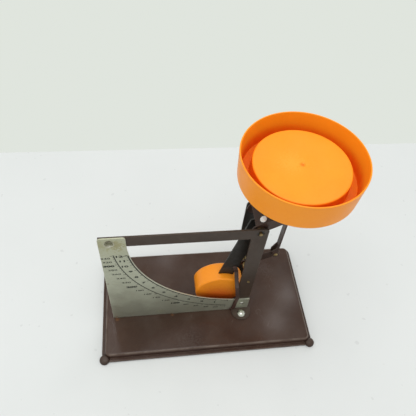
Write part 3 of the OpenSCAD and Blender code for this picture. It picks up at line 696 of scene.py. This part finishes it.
def rounded(corners: np.ndarray, radii: np.ndarray, steps: int = 7) -> np.ndarray:
    """Rounds the inner corners of an open line of straight runs.

    Each corner is cut back along both its runs by the radius over the tangent of half its inner angle. The
    arc between is the sum of the two end spokes, each weighted by the sine of the angle left to it over the
    sine of the whole.

    Args:
        corners: the line's points, two numbers each.
        radii: the radius at each corner but the first and last.
        steps: how many pieces each arc has.

    Returns:
        The rounded line's points.
    """
    at = corners[1:-1]
    back, ahead = corners[:-2] - at, corners[2:] - at
    back /= np.linalg.norm(back, axis=1, keepdims=True)
    ahead /= np.linalg.norm(ahead, axis=1, keepdims=True)
    half = 0.5 * np.arccos(np.clip((back * ahead).sum(1), -1, 1))
    middle = (back + ahead) / np.linalg.norm(back + ahead, axis=1, keepdims=True)
    cut, reach = radii / np.tan(half), radii / np.sin(half)
    centre = at + middle * reach[:, None]
    spokes = at + back * cut[:, None] - centre, at + ahead * cut[:, None] - centre
    whole = (math.pi - 2 * half)[:, None, None]
    share = np.linspace(0, 1, steps + 1)[None, :, None]
    arcs = np.sin((1 - share) * whole) * spokes[0][:, None] + np.sin(share * whole) * spokes[1][:, None]
    arcs = centre[:, None] + arcs / np.sin(whole)
    return np.concatenate([corners[:1], arcs.reshape(-1, 2), corners[-1:]])


def evened(line: np.ndarray, longest: float, near: float) -> np.ndarray:
    """Adds points to a line, so that smooth shading stays flat on its straight runs.

    The line is read by its length at every old point, a little before and after each, and at even steps.

    Args:
        line: the line's points.
        longest: the longest step allowed.
        near: how far the added points stand from the old ones.

    Returns:
        The line with more points.
    """
    length = np.concatenate([[0], np.cumsum(np.linalg.norm(np.diff(line, axis=0), axis=1))])
    even = np.linspace(0, length[-1], int(length[-1] / longest) + 2)
    wanted = np.clip(np.concatenate([length, length - near, length + near, even]), 0, length[-1])
    wanted = np.unique(np.round(wanted, 7))
    return np.stack([np.interp(wanted, length, line[:, k]) for k in (0, 1)], 1)


def revolved(line: np.ndarray, axis: Pair, sides: int) -> Shell:
    """Turns a line of radius and height about an upright axis.

    A point is at the axis plus its radius times the cosine and sine of the turn, at its own height.

    Args:
        line: radius and height of each point, in metres.
        axis: where the axis stands in x and y.
        sides: how many steps a turn has.

    Returns:
        The points and faces.
    """
    turn = np.linspace(0, 2 * math.pi, sides, endpoint=False)
    radius, height = line[:, :1], line[:, 1:]
    points = np.stack([axis[0] + radius * np.cos(turn), axis[1] + radius * np.sin(turn),
                       np.broadcast_to(height, (len(line), sides))], -1)
    return points, grid_faces(len(line), sides, closed=True)


def joined(shells: Iterable[Shell]) -> Shell:
    """Joins shells with faces of the same number of sides.

    Args:
        shells: points and faces of each.

    Returns:
        The points and faces of all of them.
    """
    points, faces, count = [], [], 0
    for own_points, own_faces in shells:
        own_points = own_points.reshape(-1, 3)
        points.append(own_points)
        faces.append(own_faces + count)
        count += len(own_points)
    return np.concatenate(points), np.concatenate(faces)


@dataclass
class Assembly:
    """CAD nodes that are dressed together: each finish with the names of the nodes that wear it."""

    nodes: Nodes
    looks: tuple[tuple[Finish, Names], ...] = ()

    def dress(self, effects: Effects) -> None:
        """Gives every node its finish.

        Args:
            effects: the shared node groups.
        """
        for finish, names in self.looks:
            dress([self.nodes[name] for name in names], finish.build(effects))


@dataclass
class Stand(Assembly):
    """The pressed tray with its feet, and the bent frame and upright screwed to it."""

    looks: tuple[tuple[Finish, Names], ...] = (
        (ENAMEL, ("base_plate",)), (FRAME, ("front_frame",)), (BLACKING, ("rear_upright", "axle_bushes")),
        (FOOT, ("corner_feet",)), (NICKEL, ("frame_screws", "frame_washers", "frame_nuts")),
        (BRASS, ("lower_axle", "lower_spacers")))


@dataclass
class ScaleFace:
    """The sheet with the graduation, and what is printed on it."""

    nodes: Nodes
    face_y: float = -14.9 * MM
    lift: float = 0.012 * MM
    ink: float = 0.03 * MM
    centre: Pair = (39.5 * MM, 140.0 * MM)
    pivot: Pair = (35.3 * MM, 142.8 * MM)
    inner_r: float = 111.1 * MM
    outer_r: float = 122.2 * MM
    inner_w: float = 1.1 * MM
    outer_w: float = 0.80 * MM
    inner_gap: float = 3.9 * MM
    outer_gap: float = 3.2 * MM
    text_h: float = 2.6 * MM
    text_wide: float = 1.75
    inner_text: Pair = (1.12, 0.04)
    bold_text: Pair = (1.1, 0.06)
    plain_text: Pair = (0.85, 0.015)
    ounce_tick: Pair = (2.0 * MM, 0.42 * MM)
    fifty_tick: Pair = (2.4 * MM, 0.42 * MM)
    fine_tick: Pair = (1.2 * MM, 0.28 * MM)
    inner_stop: Pair = (4.2 * MM, 0.5 * MM)
    outer_stop: Pair = (3.6 * MM, 0.5 * MM)
    inner_end: float = 79.6
    outer_end: float = 81.3
    arc_steps: int = 160
    arm_angle: float = 12.7
    link_angle: float = 27.9
    pointer_angle: float = 6.4
    swing: tuple[int, int, int] = (-6, 80, 900)
    zero_load: float = 0.2487
    load_start: float = 0.020
    load_step: float = 0.0034
    ounce: float = 28.35
    ounces: int = 12
    grams: int = 350
    gram_step: int = 10
    figure_step: int = 20
    bold_step: int = 100

    def angles(self, load: np.ndarray) -> np.ndarray:
        """Gives where the pointer stands for each load.

        The sine of the weight's arm angle over the cosine of the pan's arm angle grows in step with the load,
        so the curve is worked out at many pointer angles and read backwards. Its start and its step per gram
        are fitted to the marks in the photograph.

        Args:
            load: the loads in grams.

        Returns:
            The pointer's angles from straight down, in radians.
        """
        swing = np.radians(np.linspace(*self.swing))
        curve = np.sin(math.radians(self.arm_angle) + swing) / np.cos(math.radians(self.link_angle) - swing)
        wanted = self.zero_load + self.load_start + self.load_step * load
        return np.interp(wanted, curve, swing) + math.radians(self.pointer_angle)

    def on_arc(self, angle: np.ndarray, radius: float) -> np.ndarray:
        """Gives where the pointer's line crosses a printed arc.

        The line runs from the pivot, and the arc has its own middle, so the crossing is the far root of the
        usual square equation.

        Args:
            angle: the pointer's angles from straight down.
            radius: the arc's radius.

        Returns:
            The crossings as x and z.
        """
        way = np.stack([-np.sin(angle), -np.cos(angle)], -1)
        off = np.array(self.pivot) - np.array(self.centre)
        along = way @ off
        reach = -along + np.sqrt(along**2 - off @ off + radius**2)
        return np.array(self.pivot) + way * reach[..., None]

    def place(self, flat: np.ndarray) -> np.ndarray:
        """Stands flat x and z points on the sheet's face."""
        y = np.full(flat.shape[:-1] + (1,), self.face_y - self.lift)
        return np.concatenate([flat[..., :1], y, flat[..., 1:]], -1)

    def band(self, radius: float, width: float, ends: Pair) -> Shell:
        """Makes a printed arc as a grid of two rows, at its inner and its outer radius.

        Args:
            radius: the arc's radius at the middle of the line.
            width: the line's width.
            ends: the pointer's angles where it starts and ends.

        Returns:
            The points and faces.
        """
        angle = np.linspace(*ends, self.arc_steps)
        rows = [self.on_arc(angle, radius + side * width / 2) for side in (-1, 1)]
        return self.place(np.stack(rows)), grid_faces(2, len(angle))

    def ticks(self, angle: np.ndarray, radius: float, length: float, width: float) -> Shell:
        """Makes short lines that point at the pivot.

        Each is four corners: a start and an end on its pointer line, moved half a width to either side.

        Args:
            angle: the pointer's angle at each tick.
            radius: the arc's radius where they start.
            length: how long they are.
            width: how wide they are.

        Returns:
            The points and faces.
        """
        side = np.stack([np.cos(angle), -np.sin(angle)], -1) * width / 2
        start, end = self.on_arc(angle, radius), self.on_arc(angle, radius + length)
        corners = np.stack([start - side, start + side, end + side, end - side], 1)
        return self.place(corners), np.arange(4 * len(angle)).reshape(-1, 4)

    def numeral(self, value: int, angle: float, radius: float, style: Pair) -> Shell:
        """Makes one upright number from the plain built-in letters, outside an arc.

        Its outline is filled and turned to triangles. It is scaled to its height, widened, and moved outwards
        along the pointer's line until only the corner of its box reaches the given radius.

        Args:
            value: the number.
            angle: the pointer's angle at its mark.
            radius: where its box may start.
            style: its height over the usual one, and how far its outline is grown.

        Returns:
            The points and faces.
        """
        curve = bpy.data.curves.new("numeral", "FONT")
        curve.body, curve.offset, curve.resolution_u = str(value), style[1], 4
        holder = bpy.data.objects.new("numeral", curve)
        bpy.context.scene.collection.objects.link(holder)
        solved = holder.evaluated_get(bpy.context.evaluated_depsgraph_get())
        mesh = bpy.data.meshes.new_from_object(solved)
        mesh.calc_loop_triangles()
        points = np.empty(3 * len(mesh.vertices))
        mesh.vertices.foreach_get("co", points)
        faces = np.empty(3 * len(mesh.loop_triangles), int)
        mesh.loop_triangles.foreach_get("vertices", faces)
        flat = points.reshape(-1, 3)[:, :2]
        low, high = flat.min(0), flat.max(0)
        size = np.array([self.text_wide, 1.0]) * (style[0] * self.text_h) / (high[1] - low[1])
        out = np.array([-math.sin(angle), -math.cos(angle)])
        middle = self.on_arc(np.array(angle), radius) + out * (np.abs(out) @ ((high - low) * size)) / 2
        flat = (flat - (low + high) / 2) * size + middle
        bpy.data.objects.remove(holder)
        bpy.data.curves.remove(curve)
        bpy.data.meshes.remove(mesh)
        return self.place(flat), faces.reshape(-1, 3)

    def print_on(self, name: str, shell: Shell, material: bpy.types.Material) -> Piece:
        """Turns flat marks into a thin layer of ink that rides on the stand.

        Args:
            name: the piece's name.
            shell: the marks' points and faces.
            material: the ink.

        Returns:
            The piece.
        """
        piece = make_piece(name, *shell, smooth=False, toward=(0.0, -1.0, 0.0))
        layer = piece.modifiers.new("ink", "SOLIDIFY")
        layer.thickness, layer.offset = self.ink, 1.0
        dress([piece], material)
        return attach(piece, "stand")

    def build(self, effects: Effects) -> list[Piece]:
        """Dresses the sheet and prints its two bands of lines and numbers.

        Args:
            effects: the shared node groups.

        Returns:
            The printed pieces.
        """
        dress([self.nodes["scale_plate"]], SHEET.build(effects))
        dress([self.nodes["scale_rivet"]], replace(NICKEL, name="scale rivet metal").build(effects))
        dress([self.nodes["scale_eyelet"]], EYELET.build(effects))
        ink = INK.build(effects)
        ounces = self.ounce * np.arange(self.ounces + 1)
        halves = self.ounce * (np.arange(self.ounces) + 0.5)
        tens = np.arange(0, self.grams + 1, self.gram_step)
        start = self.angles(np.array(0.0))
        inner, outer = (start, math.radians(self.inner_end)), (start, math.radians(self.outer_end))
        out_of, past = self.inner_r + self.inner_w / 2, self.outer_r + self.outer_w / 2
        lines = [
            self.band(self.inner_r, self.inner_w, inner), self.band(self.outer_r, self.outer_w, outer),
            self.ticks(self.angles(ounces), out_of, *self.ounce_tick),
            self.ticks(self.angles(halves), out_of, *self.fine_tick),
            self.ticks(self.angles(tens), past, *self.fine_tick),
            self.ticks(self.angles(tens[::5]), past, *self.fifty_tick),
            self.ticks(np.array([inner[1]]), self.inner_r, *self.inner_stop),
            self.ticks(np.array([outer[0]]), self.outer_r, *self.outer_stop),
        ]
        figures = [self.numeral(value, angle, self.inner_r + self.inner_gap, self.inner_text)
                   for value, angle in enumerate(self.angles(ounces)) if value > 0]
        for value in range(self.figure_step, self.grams + 1, self.figure_step):
            style = self.plain_text if value % self.bold_step else self.bold_text
            angle = float(self.angles(np.array(float(value))))
            figures.append(self.numeral(value, angle, self.outer_r + self.outer_gap, style))
        printed = (("printed_lines", lines), ("printed_numbers", figures))
        return [self.print_on(name, joined(shells), ink) for name, shells in printed]


@dataclass
class Linkage(Assembly):
    """The lever, the lower guide and the carrier between them, with their pins."""

    looks: tuple[tuple[Finish, Names], ...] = (
        (LINK, ("lever_channel", "pan_carrier", "guide_link", "pan_seat")),
        (replace(BRASS, name="pin brass"),
         ("upper_axle", "thrust_washers", "upper_link_pin", "upper_spacer", "lower_link_pin")),
        (replace(NICKEL, name="rivet metal"), ("seat_rivets",)))


@dataclass
class Pendulum(Assembly):
    """The arm with its cased weight, and the pointer bent around it."""

    looks: tuple[tuple[Finish, Names], ...] = (
        (replace(BLACKING, name="arm blacking", wear=0.2), ("pendulum_arm",)),
        (CASE, ("weight_shell", "weight_cover")), (PAINTED_GLARE_RIVET, ("arm_rivet",)),
        (replace(NICKEL, name="small nickel"), ("weight_screw", "weight_nut")),
        (IRON, ("weight_core",)), (POINTER, ("pointer", "pointer_rivet")))


@dataclass
class PanDish:
    """The moulded pan: thin tapered wall, sunk groove, raised disc with the mark of its gate."""

    axis: Pair = (58.12 * MM, 1.1 * MM)
    bottom: float = 190.61 * MM
    radius: float = 46.4 * MM
    height: float = 24.4 * MM
    wall: float = 2.0 * MM
    rim: float = 1.1 * MM
    taper: float = 1.2 * MM
    disc_r: float = 36.4 * MM
    disc_drop: float = 9.3 * MM
    disc_lean: float = 0.4 * MM
    corner_radii: tuple[float, ...] = (1.3, 0.7, 0.9, 0.5, 0.5, 1.2, 0.5, 0.8)
    longest_step: float = 0.9 * MM
    corner_step: float = 0.12 * MM
    gate_zone: float = 4.5 * MM
    gate_points: int = 46
    gate_r: float = 1.5 * MM
    gate_w: float = 0.5 * MM
    gate_depth: float = 0.55 * MM
    stub_r: float = 0.55 * MM
    stub_h: float = 0.35 * MM
    sides: int = 216

    def outline(self) -> np.ndarray:
        """Works out the half section, from the disc's middle over the rim to the middle of its underside.

        Straight runs with rounded corners; the gate's mark is a shallow ring-shaped dent about a low stub.

        Returns:
            Radius and height of each point.
        """
        top, foot = self.height - self.disc_drop, self.radius - self.taper
        under = top - self.wall
        corners = np.array([
            (0, top), (self.disc_r, top), (self.disc_r + self.disc_lean, self.wall),
            (foot - self.wall, self.wall), (self.radius - self.rim, self.height), (self.radius, self.height),
            (foot, 0), (self.disc_r - self.wall, 0), (self.disc_r - self.wall, under), (0, under)])
        radii = np.array(self.corner_radii) * MM
        line = evened(rounded(corners, radii), self.longest_step, self.corner_step)
        near_gate = np.linspace(0, self.gate_zone, self.gate_points)
        disc = np.stack([near_gate, np.full(self.gate_points, top)], 1)
        line = np.concatenate([disc, line[line[:, 0] > self.gate_zone], [[0, under]]])
        ring = np.exp(-(((line[:, 0] - self.gate_r) / self.gate_w) ** 2))
        stub = np.exp(-((line[:, 0] / self.stub_r) ** 2))
        raised = line[:, 1] > under + self.wall / 2
        line[:, 1] -= raised * (self.gate_depth * ring - self.stub_h * stub)
        return line + np.array([0, self.bottom])

    def build(self, effects: Effects) -> Piece:
        """Makes the pan's skin in place of the CAD node.

        Args:
            effects: the shared node groups.

        Returns:
            The pan.
        """
        pan = make_piece("pan_skin", *revolved(self.outline(), self.axis, self.sides))
        x, y = self.axis
        face = self.bottom + self.height - self.disc_drop
        # The pan keeps the orange finish's painted shade, which darkens its deep groove.
        skin = replace(ORANGE, name="pan plastic", edge=0.05 * MM, wear=0.0, stains=(
            Stain((x, y, face), 2.4 * MM, (0.74, 0.17, 0.008), 0.75, 0.15),
            Stain((x - 7 * MM, y + 2 * MM, face), 11 * MM, (1.0, 0.42, 0.05), 0.3, 1.0)))
        dress([pan], skin.build(effects))
        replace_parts(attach(pan, "pan_dish"), "pan")
        return pan


@dataclass
class Studio:
    """The table, the wall's colour, the soft lamps and the camera."""

    table: Colour = (0.69, 0.715, 0.70)
    wall: Colour = (0.745, 0.783, 0.728)
    room: Pair = (0.62, 0.98)
    height: Pair = (0.66, 1.16)
    far_edge: tuple[Pair, Pair] = ((-4.0, 0.271), (4.0, 0.181))
    near: float = -4.0
    lamp_at: Point = (-0.15, -0.17, 1.70)
    lamp_size: float = 1.3
    lamp_power: float = 12.0
    glints: tuple[Point, ...] = ((-0.164, 0.444, 1.109), (0.374, 0.424, 1.109), (0.443, 0.530, 1.109),
                                 (0.212, 0.376, 1.109), (-0.005, 0.723, 1.109))
    glint_r: float = 0.022
    glint_power: float = 0.12
    lamp_aim: Point = (0.0, 0.0, 0.05)
    sky_full: float = 0.75
    grid: int = 9
    cloud_scale: float = 6.0
    cloud_span: Pair = (0.3, 0.7)
    cloud_tone: float = 0.975
    speck_scale: float = 130.0
    speck_span: Pair = (0.73, 0.76)
    speck_tone: float = 0.9
    roughness: float = 0.55
    specular: float = 0.2
    sensor: float = 36.0
    clip: float = 0.01
    eye: Point = (-0.04985, -0.20895, 0.43569)
    azimuth: float = 11.63
    pitch: float = 52.11
    roll: float = 6.5
    focal: float = 39.13

    def camera(self) -> None:
        """Stands the camera where the photograph was taken.

        Its forward direction comes from azimuth and pitch. The roll turns its right and up directions.
        """
        a, t, r = (math.radians(v) for v in (self.azimuth, self.pitch, self.roll))
        ahead = Vector((math.sin(a) * math.cos(t), math.cos(a) * math.cos(t), -math.sin(t)))
        level = Vector((math.cos(a), -math.sin(a), 0))
        raised = level.cross(ahead)
        right = math.cos(r) * level + math.sin(r) * raised
        up = -math.sin(r) * level + math.cos(r) * raised
        data = bpy.data.cameras.new("camera")
        data.lens, data.sensor_width, data.clip_start = self.focal, self.sensor, self.clip
        camera = bpy.data.objects.new("camera", data)
        turn = Matrix((right, up, -ahead)).transposed().to_4x4()
        camera.matrix_world = Matrix.Translation(self.eye) @ turn
        bpy.context.scene.collection.objects.link(camera)
        bpy.context.scene.camera = camera

    def lamp(self, name: str, at: Point, size: float, power: float, shape: str) -> None:
        """Hangs one area lamp that looks at the object.

        Args:
            name: the lamp's name.
            at: where it hangs.
            size: its side or diameter in metres.
            power: its power in watts.
            shape: Blender's word for its shape.
        """
        data = bpy.data.lights.new(name, "AREA")
        data.shape, data.size, data.energy = shape, size, power
        lamp = bpy.data.objects.new(name, data)
        aim = Vector(self.lamp_aim) - Vector(at)
        lamp.matrix_world = Matrix.Translation(at) @ aim.to_track_quat("-Z", "Y").to_matrix().to_4x4()
        bpy.context.scene.collection.objects.link(lamp)

    def sky(self) -> None:
        """Lights the room more from the sides and above. The camera and reflections see the wall's colour."""
        world = bpy.data.worlds.new("room")
        bpy.context.scene.world = world
        graph = emptied(world)
        path = graph.add("LightPath").outputs
        seen = graph.math("MAXIMUM", graph.math("MAXIMUM", path["Is Camera Ray"], path["Is Glossy Ray"]),
                          path["Is Transmission Ray"])
        way = graph.add("SeparateXYZ", {0: graph.add("TexCoord").outputs["Generated"]}).outputs
        side = graph.remap(graph.math("ABSOLUTE", way["X"]), 0.0, 1.0, *self.room)
        level = graph.math("MULTIPLY", side, graph.remap(way["Z"], 0.0, self.sky_full, *self.height))
        room = graph.add("CombineColor", {0: level, 1: level, 2: level}).outputs[0]
        shown = graph.add("Background", {"Color": graph.mix(seen, room, self.wall), "Strength": 1.0})
        graph.add("OutputWorld", {0: shown.outputs[0]})

    def floor(self) -> None:
        """Lays and dresses the table top, a grid whose far edge is the line seen in the photograph."""
        (x0, y0), (x1, y1) = self.far_edge
        share = np.linspace(0, 1, self.grid)
        x = x0 + (x1 - x0) * share
        far = y0 + (y1 - y0) * share
        rows = far[None, :] + (self.near - far)[None, :] * share[:, None]
        points = np.stack([np.broadcast_to(x, rows.shape), rows, np.zeros(rows.shape)], -1)
        table = make_piece("table_top", points, grid_faces(self.grid, self.grid)[:, ::-1], smooth=False)
        material = bpy.data.materials.new("table laminate")
        graph = emptied(material)
        cloud = graph.remap(graph.noise(self.cloud_scale, 5.0), *self.cloud_span)
        specks = graph.remap(graph.noise(self.speck_scale, 2.0, rough=0.3), *self.speck_span)
        darker, dot = (tuple(tone * c for c in self.table) for tone in (self.cloud_tone, self.speck_tone))
        colour = graph.mix(specks, graph.mix(cloud, darker, self.table), dot)
        shader = graph.add("BsdfPrincipled", {
            "Base Color": colour, "Roughness": self.roughness, "Specular IOR Level": self.specular})
        graph.add("OutputMaterial", {0: shader.outputs[0]})
        dress([table], material)

    def build(self) -> None:
        """Sets up the camera, the lamps, the room and the table."""
        self.camera()
        self.lamp("soft_key", self.lamp_at, self.lamp_size, self.lamp_power, "SQUARE")
        for number, at in enumerate(self.glints):
            self.lamp(f"ceiling_lamp_{number}", at, 2 * self.glint_r, self.glint_power, "DISK")
        self.sky()
        self.floor()


def main() -> None:
    logging.basicConfig(level=logging.INFO, format="%(message)s", force=True)
    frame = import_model()
    nodes = frame["nodes"]
    bpy.context.scene.view_settings.view_transform = "Standard"
    effects = Effects()
    Studio().build()
    Stand(nodes).dress(effects)
    prints = ScaleFace(nodes).build(effects)
    Linkage(nodes).dress(effects)
    Pendulum(nodes).dress(effects)
    pan = PanDish().build(effects)
    for piece in (*prints, pan):
        LOG.info("%s has %d faces", piece.name, len(piece.data.polygons))


if __name__ == "__main__":
    main()
